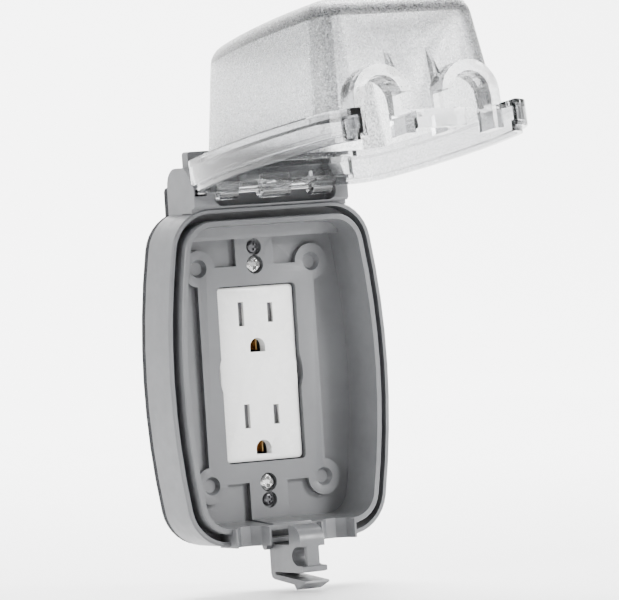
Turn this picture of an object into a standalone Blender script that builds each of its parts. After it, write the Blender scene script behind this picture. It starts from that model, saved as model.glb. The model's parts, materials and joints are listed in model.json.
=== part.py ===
"""Weatherproof in-use cover with a tamper-resistant duplex receptacle, shown with its clear cover open.

Frame: X to the right, Y into the wall, Z up. The wall surface is the plane y = 0 and the device's centre
is at x = 0, z = 0, so the front of the object faces -Y. The cover's own shape is drawn closed, in distances
from the hinge pin, and an empty on the pin turns it open.
"""

import math

import bmesh
import bpy
from mathutils import Matrix, Vector

MM = 0.001
GAP = 0.3 * MM  # clearance between pieces that touch or rest on each other
PIN_FIT = 0.1 * MM  # radial clearance of a pin that something turns on
OVERLAP = 1.0 * MM  # how far a cutter runs past the face it opens

# ---- outline shared by the housing, its gasket and the cover's flange
HALF_WIDTH = 47.3 * MM
HALF_HEIGHT = 63.9 * MM
SIDE_BULGE = 3.7 * MM
SIDE_BULGE_HALF_SPAN = 46.0 * MM
CORNER_RADIUS = 17.0 * MM
SIDE_STEPS = 8
CORNER_STEPS = 8

# ---- housing, from the wall forwards
GASKET_THICKNESS = 3.3 * MM
BACK_Y = -(GASKET_THICKNESS + GAP)
FLOOR_THICKNESS = 1.9 * MM
FLOOR_Y = BACK_Y - FLOOR_THICKNESS
PLATEAU_STEP = 2.5 * MM
PLATEAU_Y = FLOOR_Y - PLATEAU_STEP
RIM_DEPTH = 19.3 * MM
RIM_Y = BACK_Y - RIM_DEPTH
LIP_PROUD = 2.15 * MM
LIP_Y = RIM_Y - LIP_PROUD
RIM_WALL = 1.7 * MM
GROOVE_WIDTH = 2.9 * MM
GROOVE_DEPTH = 7.9 * MM
LIP_WIDTH = 2.1 * MM
CAVITY_DRAFT = 1.3 * MM

PLATEAU_HALF_WIDTH = 25.3 * MM
EAR_RADIUS = 7.0 * MM
EAR_X = 24.5 * MM
EAR_Z = 41.4 * MM
COLUMN_HALF_WIDTH = 8.2 * MM
WALL_RIB_HEIGHT = 0.55 * MM
EAR_DIMPLE_RADIUS = 3.55 * MM
EAR_DIMPLE_FLOOR_RADIUS = 2.5 * MM
EAR_DIMPLE_DEPTH = 2.2 * MM

# ---- receptacle
FACE_HALF_WIDTH = 16.65 * MM
FACE_HALF_HEIGHT = 33.35 * MM
FACE_CORNER = 1.6 * MM
FACE_RECESS = 1.9 * MM
FACE_Y = PLATEAU_Y + FACE_RECESS
FACE_FIT = 0.45 * MM
OPENING_CIRCLE_RADIUS = 18.2 * MM
OUTLET_Z = (23.0 * MM, -16.1 * MM)
GROUND_DROP = 12.1 * MM
BLADE_X = 6.35 * MM
BLADE_SLOT_WIDTH = 2.4 * MM
NEUTRAL_SLOT_HEIGHT = 9.2 * MM
HOT_SLOT_HEIGHT = 7.5 * MM
GROUND_WIDTH = 6.6 * MM
GROUND_HEIGHT = 5.4 * MM
FACE_WALL = 1.8 * MM
STRAP_THICKNESS = 1.4 * MM
STRAP_HALF_HEIGHT = 53.0 * MM
STRAP_TAB_HALF_WIDTH = 9.5 * MM
STRAP_RING = 3.0 * MM
BODY_DEPTH = 23.0 * MM
BODY_FLANGE_DEPTH = 2.4 * MM
SHUTTER_TRAVEL = 3.2 * MM
SHUTTER_THICKNESS = 1.5 * MM
SHUTTER_HALF_HEIGHT = 5.6 * MM
CONTACT_SHEET = 0.7 * MM
BODY_HALF_WIDTH = FACE_HALF_WIDTH
TERMINAL_PLATE_INNER = BODY_HALF_WIDTH + GAP

# ---- fasteners
DEVICE_SCREW_Z = 41.67 * MM
DEVICE_HEAD_RADIUS = 3.45 * MM
DEVICE_HEAD_HEIGHT = 2.3 * MM
DEVICE_HEAD_SUNK = 0.5 * MM
DEVICE_SHANK_RADIUS = 1.7 * MM
DEVICE_SHANK_LENGTH = 20.0 * MM
PLATE_SCREW_Z = 48.42 * MM
PLATE_RECESS_RADIUS = 3.22 * MM
PLATE_RECESS_DEPTH = 2.1 * MM
PLATE_HEAD_RADIUS = 2.35 * MM
PLATE_HEAD_HEIGHT = 1.2 * MM
PLATE_SHANK_RADIUS = 1.3 * MM
PLATE_SHANK_LENGTH = 9.0 * MM
TERMINAL_HEAD_RADIUS = 3.6 * MM
TERMINAL_HEAD_HEIGHT = 2.0 * MM
TERMINAL_SHANK_RADIUS = 1.6 * MM
TERMINAL_SHANK_LENGTH = 4.5 * MM
RIVET_RADIUS = 1.2 * MM
RIVET_HEAD_RADIUS = 2.2 * MM
RIVET_HEAD_HEIGHT = 1.0 * MM

# ---- hinge
HINGE_Y = RIM_Y + 0.1 * MM
HINGE_Z = HALF_HEIGHT + 6.3 * MM
COVER_OPEN_DEGREES = 97.5
HINGE_PIN_RADIUS = 1.2 * MM
NECK_HALF_WIDTH = 33.4 * MM
NECK_TOP_Z = HINGE_Z + 9.8 * MM
NECK_BACK_RADIUS = 7.0 * MM
EAR_FRONT_Y = HINGE_Y - 2.0 * MM
LEFT_EAR_INNER_X = -24.4 * MM
RIGHT_EAR_INNER_X = 28.0 * MM
TROUGH_FLOOR_Y = HINGE_Y + 6.2 * MM
TROUGH_CORNER = 3.0 * MM
KNUCKLE_RADIUS = 3.2 * MM
KNUCKLES_X = (
    (-22.6 * MM, -14.6 * MM),
    (-4.0 * MM, 8.0 * MM),
    (17.8 * MM, 26.2 * MM),
)
STOP_HALF_WIDTH = 31.0 * MM
STOP_DEPTH = 4.6 * MM
STOP_HEIGHT = 6.0 * MM

# ---- cover, measured closed from the hinge pin: "down" runs to the free end and "out" to the front
COVER_WALL = 2.4 * MM
SEAT_OUT = HINGE_Y - RIM_Y + GAP
FLANGE_OUT = SEAT_OUT + 9.5 * MM
STEP_OUT = SEAT_OUT + 2.0 * MM
STEP_INSET = 3.9 * MM
SEAT_REBATE = 0.5 * MM
TONGUE_LENGTH = 2.0 * MM
TONGUE_FIT = 0.4 * MM
FLANGE_TOP_DOWN = 2.8 * MM
COVER_LENGTH = HINGE_Z + HALF_HEIGHT  # from the pin to the free end
# The dome's half width, its two ends and its corner radius, at its foot and at its head
DOME_FOOT = (HALF_WIDTH - 5.0 * MM, 19.4 * MM, COVER_LENGTH - 16.9 * MM, 12.0 * MM)
DOME_HEAD = (HALF_WIDTH - 10.6 * MM, 23.1 * MM, COVER_LENGTH - 21.3 * MM, 10.0 * MM)
DOME_SIDE_BULGE = 4.8 * MM
DOME_OUT = 52.5 * MM
DOME_TILT = 1.5 * MM  # how much further out the dome's head stands at the free end than at its middle
DOME_EDGE_RADIUS = 7.2 * MM
DOME_EDGE_STEPS = 6
DOME_LEAST_CORNER = 1.5 * MM
ARCH_X = 18.5 * MM
ARCH_INNER_RADIUS = 8.0 * MM
ARCH_WALL = 4.0 * MM
ARCH_TOP_OUT = 26.2 * MM
ARCH_FACE_DOWN = COVER_LENGTH - 8.1 * MM
STRIKE_HALF_WIDTH = 10.2 * MM
STRIKE_HEIGHT = 7.1 * MM
STRIKE_WINDOW_HALF_WIDTH = 6.2 * MM
FLANGE_END_X = HALF_WIDTH - 15.0 * MM
GUSSET_X = 8.8 * MM
GUSSET_THICKNESS = 1.4 * MM
GUSSET_TOP_OUT = 35.0 * MM
GUSSET_FOOT_OUT = 16.0 * MM

# ---- cord saddles in the housing's lower edge
SADDLE_FIT = 0.4 * MM
SADDLE_HALF_WIDTH = ARCH_INNER_RADIUS - SADDLE_FIT
SADDLE_WALL = 0.8 * MM
SADDLE_Y = LIP_Y - 2.75 * MM
SADDLE_FLUTES = 5

# ---- latch
LATCH_HALF_WIDTH = 5.2 * MM
LATCH_PIVOT_Y = RIM_Y + 6.4 * MM
LATCH_PIVOT_Z = -HALF_HEIGHT - 1.1 * MM
LATCH_KNUCKLE_RADIUS = 2.4 * MM
LATCH_PIN_RADIUS = 1.0 * MM
LATCH_LUG_WIDTH = 2.5 * MM
LATCH_LUG_RADIUS = 1.9 * MM
LATCH_SIDE_FIT = 0.5 * MM
LATCH_SEAT_Z = LATCH_PIVOT_Z + 0.1 * MM
LATCH_BLOCK_BOTTOM_Z = LATCH_SEAT_Z - 10.5 * MM
LATCH_HEAD_TOP_Z = LATCH_SEAT_Z + 7.5 * MM
LATCH_HEAD_BACK_Y = HINGE_Y - SEAT_OUT - STRIKE_HEIGHT - GAP
LATCH_FRONT_Y = LATCH_HEAD_BACK_Y - 8.9 * MM
SHACKLE_HOLE_DEPTH = 5.4 * MM
SHACKLE_HOLE_HEIGHT = 7.4 * MM
SHACKLE_WEB = 2.0 * MM
SHACKLE_WEB_HALF_WIDTH = 2.6 * MM

ROUND = 24  # sides of a round hole or shank that can be seen
SMALL_ROUND = 14


# ---------------------------------------------------------------- scene and materials


def clear_scene():
    for old in list(bpy.data.objects):
        bpy.data.objects.remove(old, do_unlink=True)


def material(name, colour, roughness, metallic=0.0, transmission=0.0):
    made = bpy.data.materials.get(name)
    if made:
        return made
    made = bpy.data.materials.new(name)
    made.use_nodes = True
    shader = made.node_tree.nodes["Principled BSDF"]
    shader.inputs["Base Color"].default_value = (*colour, 1.0)
    shader.inputs["Roughness"].default_value = roughness
    shader.inputs["Metallic"].default_value = metallic
    shader.inputs["Transmission Weight"].default_value = transmission
    return made


def grey_plastic():
    return material("grey_plastic", (0.36, 0.37, 0.38), 0.5)


def clear_plastic():
    return material("clear_plastic", (0.9, 0.91, 0.92), 0.25, transmission=0.9)


def white_plastic():
    return material("white_plastic", (0.85, 0.85, 0.84), 0.3)


def black_foam():
    return material("black_foam", (0.02, 0.02, 0.022), 0.95)


def bright_steel():
    return material("bright_steel", (0.6, 0.6, 0.6), 0.25, metallic=1.0)


def dark_steel():
    return material("dark_steel", (0.05, 0.05, 0.055), 0.4, metallic=0.8)


def brass():
    return material("brass", (0.72, 0.5, 0.2), 0.35, metallic=1.0)


def green_steel():
    return material("green_steel", (0.03, 0.25, 0.08), 0.4, metallic=0.7)


def black_nylon():
    return material("black_nylon", (0.04, 0.04, 0.045), 0.55)


# ---------------------------------------------------------------- shapes


def add_object(name, shape, look=None):
    """A new object that holds the bmesh, with its faces turned outwards."""
    bmesh.ops.recalc_face_normals(shape, faces=shape.faces[:])
    mesh = bpy.data.meshes.new(name)
    shape.to_mesh(mesh)
    shape.free()
    made = bpy.data.objects.new(name, mesh)
    bpy.context.collection.objects.link(made)
    if look:
        mesh.materials.append(look)
    return made


def loft(name, loops, look=None):
    """A closed solid through loops of points, each loop with the same number of them."""
    shape = bmesh.new()
    rings = [[shape.verts.new(point) for point in loop] for loop in loops]
    for ring, following in zip(rings, rings[1:]):
        for i, corner in enumerate(ring):
            j = (i + 1) % len(ring)
            shape.faces.new((corner, ring[j], following[j], following[i]))
    shape.faces.new(rings[0])
    shape.faces.new(rings[-1][::-1])
    return add_object(name, shape, look)


def prism_y(name, outline, front, back, look=None):
    """An outline of (x, z) points, extruded from y = front to y = back."""
    return loft(name, [[(x, y, z) for x, z in outline] for y in (front, back)], look)


def prism_x(name, profile, left, right, look=None):
    """A profile of (y, z) points, extruded from x = left to x = right."""
    return loft(name, [[(x, y, z) for y, z in profile] for x in (left, right)], look)


def box(name, low, high, look=None):
    (x0, y0, z0), (x1, y1, z1) = low, high
    return prism_y(name, [(x0, z0), (x1, z0), (x1, z1), (x0, z1)], y0, y1, look)


def arc(centre, radius, start, end, steps):
    """Points of an arc about a centre, from one angle to another in degrees, both ends included."""
    angles = [math.radians(start + (end - start) * i / steps) for i in range(steps + 1)]
    return [(centre[0] + radius * math.cos(a), centre[1] + radius * math.sin(a)) for a in angles]


def ring(centre, radius, sides):
    return arc(centre, radius, 0, 360, sides)[:-1]


def rod(name, start, end, radius, sides=ROUND, end_radius=None, look=None):
    """A round bar between two points, tapered when end_radius is given."""
    start, end = Vector(start), Vector(end)
    axis = end - start
    turn = axis.to_track_quat("Z", "Y")
    loops = []
    for centre, size in ((start, radius), (end, end_radius or radius)):
        loops.append([centre + turn @ Vector((x, y, 0)) for x, y in ring((0, 0), size, sides)])
    return loft(name, loops, look)


def rounded_rectangle(left, right, bottom, top, radius, steps=4):
    corners = (
        ((right - radius, bottom + radius), -90),
        ((right - radius, top - radius), 0),
        ((left + radius, top - radius), 90),
        ((left + radius, bottom + radius), 180),
    )
    return [p for centre, start in corners for p in arc(centre, radius, start, start + 90, steps)]


def bowed_outline(half_width, half_height, side_radius, corner_radius):
    """An upright outline about the origin, whose bowed sides run smoothly into its corners."""
    side_x = half_width - side_radius
    corner_z = half_height - corner_radius
    corner_x = side_x + math.sqrt((side_radius - corner_radius) ** 2 - corner_z**2)
    lean = math.degrees(math.atan2(corner_z, corner_x - side_x))
    side = arc((side_x, 0), side_radius, -lean, lean, SIDE_STEPS)
    upper = arc((corner_x, corner_z), corner_radius, lean, 90, CORNER_STEPS)[1:]
    right = [(x, -z) for x, z in reversed(upper)] + side + upper
    return right + [(-x, z) for x, z in reversed(right)]


def bow_radius(bulge, half_span):
    """The radius of an arc that rises by the bulge over twice the half span."""
    return (half_span**2 + bulge**2) / (2 * bulge)


def housing_outline(inset):
    """The housing's outline, moved inwards by inset."""
    side_radius = bow_radius(SIDE_BULGE, SIDE_BULGE_HALF_SPAN)
    return bowed_outline(HALF_WIDTH - inset, HALF_HEIGHT - inset, side_radius - inset, CORNER_RADIUS - inset)


def combine(target, tool, operation):
    """Joins tool to target, or cuts it away, and removes the tool."""
    modifier = target.modifiers.new(operation, "BOOLEAN")
    modifier.operation = operation
    modifier.object = tool
    modifier.solver = "EXACT"
    bpy.context.view_layer.update()
    graph = bpy.context.evaluated_depsgraph_get()
    result = bpy.data.meshes.new_from_object(target.evaluated_get(graph))
    target.modifiers.remove(modifier)
    old = target.data
    target.data = result
    bpy.data.meshes.remove(old)
    bpy.data.objects.remove(tool, do_unlink=True)


def join(target, *tools):
    for tool in tools:
        combine(target, tool, "UNION")


def cut(target, *tools):
    for tool in tools:
        combine(target, tool, "DIFFERENCE")


def smooth(target, degrees=35):
    target.data.shade_smooth()
    target.data.set_sharp_from_angle(angle=math.radians(degrees))


def place(target, location, parent=None):
    """Moves the object's origin to a point and leaves its shape where it is."""
    target.data.transform(Matrix.Translation(-Vector(location)))
    target.location = location
    if parent:
        target.parent = parent
        target.location = Vector(location) - parent.location


def axis_empty(name, location):
    empty = bpy.data.objects.new(name, None)
    empty.empty_display_size = 8 * MM
    empty.location = location
    bpy.context.collection.objects.link(empty)
    return empty


# ---------------------------------------------------------------- housing


def plateau_outline_solids():
    """The raised plateau's pieces: the panel, its four ears and the column that runs up and down."""
    front, back = PLATEAU_Y, BACK_Y - 0.5 * MM
    panel = prism_y(
        "panel",
        rounded_rectangle(-PLATEAU_HALF_WIDTH, PLATEAU_HALF_WIDTH, -EAR_Z, EAR_Z, 0.5 * MM, 1),
        front,
        back,
    )
    ears = [
        prism_y("ear", ring((sx * EAR_X, sz * EAR_Z), EAR_RADIUS, ROUND), front, back)
        for sx in (-1, 1)
        for sz in (-1, 1)
    ]
    reach = HALF_HEIGHT - RIM_WALL - GROOVE_WIDTH - OVERLAP
    column = box("column", (-COLUMN_HALF_WIDTH, front, -reach), (COLUMN_HALF_WIDTH, back, reach))
    return [panel, column, *ears]


def housing_shell():
    """Walls, groove, lip and floor."""
    shell = loft(
        "base_housing",
        [
            [(x, RIM_Y, z) for x, z in housing_outline(0.5 * MM)],
            [(x, RIM_Y + 0.5 * MM, z) for x, z in housing_outline(0)],
            [(x, BACK_Y, z) for x, z in housing_outline(0)],
        ],
        grey_plastic(),
    )
    lip_inset = RIM_WALL + GROOVE_WIDTH
    lip = loft(
        "lip",
        [
            [(x, LIP_Y, z) for x, z in housing_outline(lip_inset + 0.4 * MM)],
            [(x, LIP_Y + 0.4 * MM, z) for x, z in housing_outline(lip_inset)],
            [(x, RIM_Y + OVERLAP, z) for x, z in housing_outline(lip_inset)],
        ],
    )
    join(shell, lip)
    groove = prism_y("groove", housing_outline(RIM_WALL), RIM_Y - 5 * MM, RIM_Y + GROOVE_DEPTH)
    cut(groove, prism_y("core", housing_outline(lip_inset), RIM_Y - 6 * MM, RIM_Y + GROOVE_DEPTH + OVERLAP))
    cut(shell, groove)
    cavity_inset = lip_inset + LIP_WIDTH
    slope = CAVITY_DRAFT / (FLOOR_Y - LIP_Y)
    cavity = loft(
        "cavity",
        [
            [(x, LIP_Y - OVERLAP, z) for x, z in housing_outline(cavity_inset - slope * OVERLAP)],
            [(x, FLOOR_Y, z) for x, z in housing_outline(cavity_inset + CAVITY_DRAFT)],
        ],
    )
    cut(shell, cavity)
    return shell


def wall_rib():
    """The shallow rib that carries the column's width down the inside of the lower wall."""
    wall_front = HALF_HEIGHT - RIM_WALL - GROOVE_WIDTH - LIP_WIDTH
    root = -wall_front - WALL_RIB_HEIGHT
    profile = [
        (LIP_Y + 0.4 * MM, root),
        (LIP_Y + 0.4 * MM, -wall_front + WALL_RIB_HEIGHT),
        (PLATEAU_Y + OVERLAP, -wall_front + CAVITY_DRAFT + WALL_RIB_HEIGHT),
        (PLATEAU_Y + OVERLAP, root),
    ]
    return prism_x("rib", profile, -COLUMN_HALF_WIDTH, COLUMN_HALF_WIDTH)


def hinge_housing():
    """The neck above the rim: two ears with a trough between them, and the cover's stop on top."""
    ear_shoulder_z = HINGE_Z + 2.5 * MM
    profile = [
        (BACK_Y, HALF_HEIGHT - CORNER_RADIUS + 5 * MM),
        (RIM_Y + GROOVE_DEPTH + 0.5 * MM, HALF_HEIGHT - CORNER_RADIUS + 5 * MM),
        (RIM_Y + GROOVE_DEPTH + 0.5 * MM, HALF_HEIGHT - RIM_WALL + 0.4 * MM),
        (RIM_Y + 0.6 * MM, HALF_HEIGHT - RIM_WALL + 0.4 * MM),
        (RIM_Y + 0.6 * MM, HALF_HEIGHT + 0.3 * MM),
        (EAR_FRONT_Y + 1.0 * MM, HALF_HEIGHT + 0.3 * MM),
        (EAR_FRONT_Y, HALF_HEIGHT + 1.3 * MM),
        (EAR_FRONT_Y, ear_shoulder_z),
        (EAR_FRONT_Y + 6.8 * MM, NECK_TOP_Z),
    ]
    back_corner = (BACK_Y - NECK_BACK_RADIUS, NECK_TOP_Z - NECK_BACK_RADIUS)
    profile += arc(back_corner, NECK_BACK_RADIUS, 90, 0, 6)
    neck = prism_x("neck", profile, -NECK_HALF_WIDTH, NECK_HALF_WIDTH)
    stop_front = EAR_FRONT_Y + 7.6 * MM
    stop = prism_y(
        "stop",
        rounded_rectangle(
            -STOP_HALF_WIDTH, STOP_HALF_WIDTH, NECK_TOP_Z - 2 * MM, NECK_TOP_Z + STOP_HEIGHT, 1.0 * MM, 2
        ),
        stop_front,
        stop_front + STOP_DEPTH,
    )
    join(neck, stop)
    trough = prism_y(
        "trough",
        rounded_rectangle(
            LEFT_EAR_INNER_X, RIGHT_EAR_INNER_X, HALF_HEIGHT + 0.8 * MM, NECK_TOP_Z + 30 * MM, TROUGH_CORNER
        ),
        EAR_FRONT_Y - 5 * MM,
        TROUGH_FLOOR_Y,
    )
    cut(neck, trough)
    return neck


def hinge_openings():
    """Cutters for the pin's bore and for the windows that show it in the ears."""
    reach = NECK_HALF_WIDTH - 1.5 * MM
    radius = HINGE_PIN_RADIUS + PIN_FIT
    bore = rod("bore", (-reach, HINGE_Y, HINGE_Z), (reach, HINGE_Y, HINGE_Z), radius, SMALL_ROUND)
    window = box(
        "window",
        (-NECK_HALF_WIDTH + 0.6 * MM, EAR_FRONT_Y - OVERLAP, HINGE_Z - 1.3 * MM),
        (-NECK_HALF_WIDTH + 5.6 * MM, HINGE_Y, HINGE_Z + 1.3 * MM),
    )
    notch = box(
        "notch",
        (NECK_HALF_WIDTH - 1.6 * MM, EAR_FRONT_Y - OVERLAP, HINGE_Z + 0.6 * MM),
        (NECK_HALF_WIDTH + OVERLAP, EAR_FRONT_Y + 1.6 * MM, HINGE_Z + 2.0 * MM),
    )
    return [bore, window, notch]


def saddle(side):
    """A block across the lower edge that carries one cord, with a fluted half-round channel."""
    centre = side * ARCH_X
    channel_radius = SADDLE_HALF_WIDTH - SADDLE_WALL
    top = -HALF_HEIGHT + RIM_WALL + GROOVE_WIDTH + 1.9 * MM
    block = box(
        "saddle",
        (centre - SADDLE_HALF_WIDTH, SADDLE_Y, -HALF_HEIGHT - 0.7 * MM),
        (centre + SADDLE_HALF_WIDTH, RIM_Y + GROOVE_DEPTH + 0.5 * MM, top),
    )
    channel = loft(
        "channel",
        [
            [
                (centre + channel_radius * math.cos(a), SADDLE_Y + channel_radius * math.sin(a), z)
                for a in (math.pi * i / SADDLE_FLUTES for i in range(SADDLE_FLUTES + 1))
            ]
            + [
                (centre - channel_radius, SADDLE_Y - 5 * MM, z),
                (centre + channel_radius, SADDLE_Y - 5 * MM, z),
            ]
            for z in (-HALF_HEIGHT - 5 * MM, -HALF_HEIGHT + 12 * MM)
        ],
    )
    return block, channel


def latch_mount(housing):
    """The notch in the lower edge, and the two lugs that hold the latch's pin."""
    half_notch = ARCH_X - SADDLE_HALF_WIDTH - 0.2 * MM
    lip_outside_z = -HALF_HEIGHT + RIM_WALL + GROOVE_WIDTH
    notch = box(
        "notch",
        (-half_notch, LIP_Y - OVERLAP, -HALF_HEIGHT - 5 * MM),
        (half_notch, LATCH_PIVOT_Y - 4.5 * MM, lip_outside_z),
    )
    cut(housing, notch)
    inner = LATCH_HALF_WIDTH + LATCH_SIDE_FIT
    pivot = (LATCH_PIVOT_Y, LATCH_PIVOT_Z)
    for side in (-1, 1):
        near, far = sorted((side * inner, side * (inner + LATCH_LUG_WIDTH)))
        top = -HALF_HEIGHT + 1.0 * MM
        profile = arc(pivot, LATCH_LUG_RADIUS, 180, 360, 8)
        profile += [(LATCH_PIVOT_Y + LATCH_LUG_RADIUS, top), (LATCH_PIVOT_Y - LATCH_LUG_RADIUS, top)]
        join(housing, prism_x("lug", profile, near, far))
    clearance = rod(
        "clearance",
        (-inner, *pivot),
        (inner, *pivot),
        LATCH_KNUCKLE_RADIUS + 2 * GAP,
    )
    reach = inner + LATCH_LUG_WIDTH - 0.6 * MM
    bore = rod("bore", (-reach, *pivot), (reach, *pivot), LATCH_PIN_RADIUS + PIN_FIT, SMALL_ROUND)
    cut(housing, clearance, bore)


def screw_holes():
    """Cutters for the device screws, the plate screws and the blind dimples in the four ears."""
    cutters = []
    for sz in (-1, 1):
        z = sz * DEVICE_SCREW_Z
        head_back = PLATEAU_Y + DEVICE_HEAD_SUNK + DEVICE_HEAD_HEIGHT + GAP
        head_hole = DEVICE_HEAD_RADIUS + 0.15 * MM
        shank_hole = DEVICE_SHANK_RADIUS + 0.4 * MM
        cutters.append(rod("head", (0, PLATEAU_Y - OVERLAP, z), (0, head_back, z), head_hole))
        cutters.append(rod("shank", (0, head_back - 0.5 * MM, z), (0, BACK_Y + OVERLAP, z), shank_hole))
        z = sz * PLATE_SCREW_Z
        recess_back = PLATEAU_Y + PLATE_RECESS_DEPTH
        shank_hole = PLATE_SHANK_RADIUS + GAP
        cutters.append(rod("recess", (0, PLATEAU_Y - OVERLAP, z), (0, recess_back, z), PLATE_RECESS_RADIUS))
        cutters.append(rod("shank", (0, recess_back - 0.5 * MM, z), (0, BACK_Y + OVERLAP, z), shank_hole))
        for sx in (-1, 1):
            x, z = sx * EAR_X, sz * EAR_Z
            slope = (EAR_DIMPLE_RADIUS - EAR_DIMPLE_FLOOR_RADIUS) / EAR_DIMPLE_DEPTH
            cutters.append(
                rod(
                    "dimple",
                    (x, PLATEAU_Y - OVERLAP, z),
                    (x, PLATEAU_Y + EAR_DIMPLE_DEPTH, z),
                    EAR_DIMPLE_RADIUS + slope * OVERLAP,
                    ROUND,
                    EAR_DIMPLE_FLOOR_RADIUS,
                )
            )
    return cutters


def device_opening():
    """The cutter for the window that the receptacle's face fills, with its round middle."""
    half_width = FACE_HALF_WIDTH + FACE_FIT
    half_height = FACE_HALF_HEIGHT + FACE_FIT
    window = prism_y(
        "window",
        rounded_rectangle(-half_width, half_width, -half_height, half_height, FACE_CORNER, 2),
        PLATEAU_Y - OVERLAP,
        BACK_Y + OVERLAP,
    )
    join(
        window,
        rod(
            "middle",
            (0, PLATEAU_Y - 2 * OVERLAP, 0),
            (0, BACK_Y + 2 * OVERLAP, 0),
            OPENING_CIRCLE_RADIUS,
            2 * ROUND,
        ),
    )
    return window


def base_housing():
    housing = housing_shell()
    join(housing, *plateau_outline_solids(), wall_rib())
    join(housing, hinge_housing())
    cut(housing, *hinge_openings())
    for side in (-1, 1):
        block, channel = saddle(side)
        join(housing, block)
        cut(housing, channel)
    latch_mount(housing)
    cut(housing, device_opening(), *screw_holes())
    smooth(housing)
    return housing


def wall_gasket():
    """The foam gasket between the housing and the wall, open around the device box."""
    inset = 0.3 * MM
    gasket = prism_y("wall_gasket", housing_outline(inset), -GASKET_THICKNESS, 0, black_foam())
    neck_half_width = NECK_HALF_WIDTH - inset
    neck_top = NECK_TOP_Z - NECK_BACK_RADIUS
    join(
        gasket,
        prism_y(
            "neck",
            rounded_rectangle(-neck_half_width, neck_half_width, 0, neck_top, 1.5 * MM, 2),
            -GASKET_THICKNESS,
            0,
        ),
    )
    hole_half_width, hole_half_height = 34.0 * MM, 56.0 * MM
    hole = rounded_rectangle(
        -hole_half_width, hole_half_width, -hole_half_height, hole_half_height, 6.0 * MM
    )
    cut(gasket, prism_y("hole", hole, -GASKET_THICKNESS - OVERLAP, OVERLAP))
    smooth(gasket)
    return gasket


# ---------------------------------------------------------------- cover


def cover_point(x, down, out):
    """A point of the closed cover, from its distances below and in front of the hinge pin."""
    return (x, HINGE_Y - out, HINGE_Z - down)


def cover_box(name, low, high):
    return box(name, cover_point(*low), cover_point(*high))


def dome_loop(share, out, inset):
    """One level of the dome: share runs from 0 at its foot to 1 at its head, which is tilted."""
    half_width, near, far, corner = (a + (b - a) * share for a, b in zip(DOME_FOOT, DOME_HEAD))
    middle, half_length = (near + far) / 2, (far - near) / 2
    outline = bowed_outline(
        half_width - inset,
        half_length - inset,
        bow_radius(DOME_SIDE_BULGE, half_length) - inset,
        max(corner - inset, DOME_LEAST_CORNER),
    )
    slope = DOME_TILT * share / half_length
    return [cover_point(x, middle + along, out + slope * along) for x, along in outline]


def dome_solid(name, inset, foot_out, wall):
    """The dome's outer shape, or its hollow when inset by the wall."""
    head_out = DOME_OUT - wall
    radius = DOME_EDGE_RADIUS - wall
    span = DOME_OUT - FLANGE_OUT
    loops = [dome_loop(0, foot_out, inset), dome_loop(0, FLANGE_OUT, inset)]
    for step in range(DOME_EDGE_STEPS + 1):
        angle = math.radians(90 * step / DOME_EDGE_STEPS)
        out = head_out - radius + radius * math.sin(angle)
        share = (out - FLANGE_OUT) / span
        loops.append(dome_loop(share, out, inset + radius * (1 - math.cos(angle))))
    return loft(name, loops)


def flange_outline_solid(name, inset, front_out, back_out, neck=True):
    """A slice of the flange's outline between two distances in front of the pin."""
    slice_ = prism_y(name, housing_outline(inset), HINGE_Y - front_out, HINGE_Y - back_out)
    if neck:
        half = NECK_HALF_WIDTH - 0.4 * MM - inset
        join(
            slice_,
            prism_y(
                "neck",
                rounded_rectangle(
                    -half, half, HALF_HEIGHT - CORNER_RADIUS, HINGE_Z - FLANGE_TOP_DOWN - inset, 1.0 * MM, 2
                ),
                HINGE_Y - front_out,
                HINGE_Y - back_out,
            ),
        )
    return slice_


def cover_flange():
    """The band around the cover's foot: its wall, its shelf, the thicker seat and the tongue."""
    flange = flange_outline_solid("clear_cover", 0, FLANGE_OUT, SEAT_OUT + SEAT_REBATE)
    cut(flange, flange_outline_solid("hollow", COVER_WALL, FLANGE_OUT - COVER_WALL, SEAT_OUT - OVERLAP))
    seat = flange_outline_solid("seat", SEAT_REBATE, STEP_OUT, SEAT_OUT, neck=False)
    tongue_inset = RIM_WALL + TONGUE_FIT
    tongue_end = RIM_WALL + GROOVE_WIDTH - TONGUE_FIT
    tongue = flange_outline_solid("tongue", tongue_inset, STEP_OUT, SEAT_OUT - TONGUE_LENGTH, neck=False)
    cut(seat, flange_outline_solid("hollow", STEP_INSET, STEP_OUT + OVERLAP, SEAT_OUT - OVERLAP, neck=False))
    cut(
        tongue,
        flange_outline_solid(
            "hollow", tongue_end, STEP_OUT + OVERLAP, SEAT_OUT - TONGUE_LENGTH - OVERLAP, neck=False
        ),
    )
    join(seat, tongue)
    cut(
        seat,
        cover_box(
            "end",
            (-FLANGE_END_X, ARCH_FACE_DOWN - 12 * MM, STEP_OUT + 5 * MM),
            (FLANGE_END_X, COVER_LENGTH + 5 * MM, -5 * MM),
        ),
    )
    join(flange, seat)
    over_ears = cover_box(
        "over_ears",
        (-NECK_HALF_WIDTH - OVERLAP, -OVERLAP, HINGE_Y - EAR_FRONT_Y + 0.4 * MM),
        (NECK_HALF_WIDTH + OVERLAP, HINGE_Z - HALF_HEIGHT + GAP, -5 * MM),
    )
    cut(flange, over_ears)
    return flange


def arch_profile(side, radius):
    """An arch seen along the cord: a half circle on two straight legs."""
    centre_out = ARCH_TOP_OUT - ARCH_INNER_RADIUS - ARCH_WALL
    foot = SEAT_OUT if radius > ARCH_INNER_RADIUS else SEAT_OUT - 8 * MM
    half_circle = arc((side * ARCH_X, centre_out), radius, 0, 180, 12)
    return half_circle + [(side * ARCH_X - radius, foot), (side * ARCH_X + radius, foot)]


def arch(name, side, radius, start_down, end_down):
    profile = arch_profile(side, radius)
    return loft(name, [[cover_point(x, down, out) for x, out in profile] for down in (start_down, end_down)])


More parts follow.
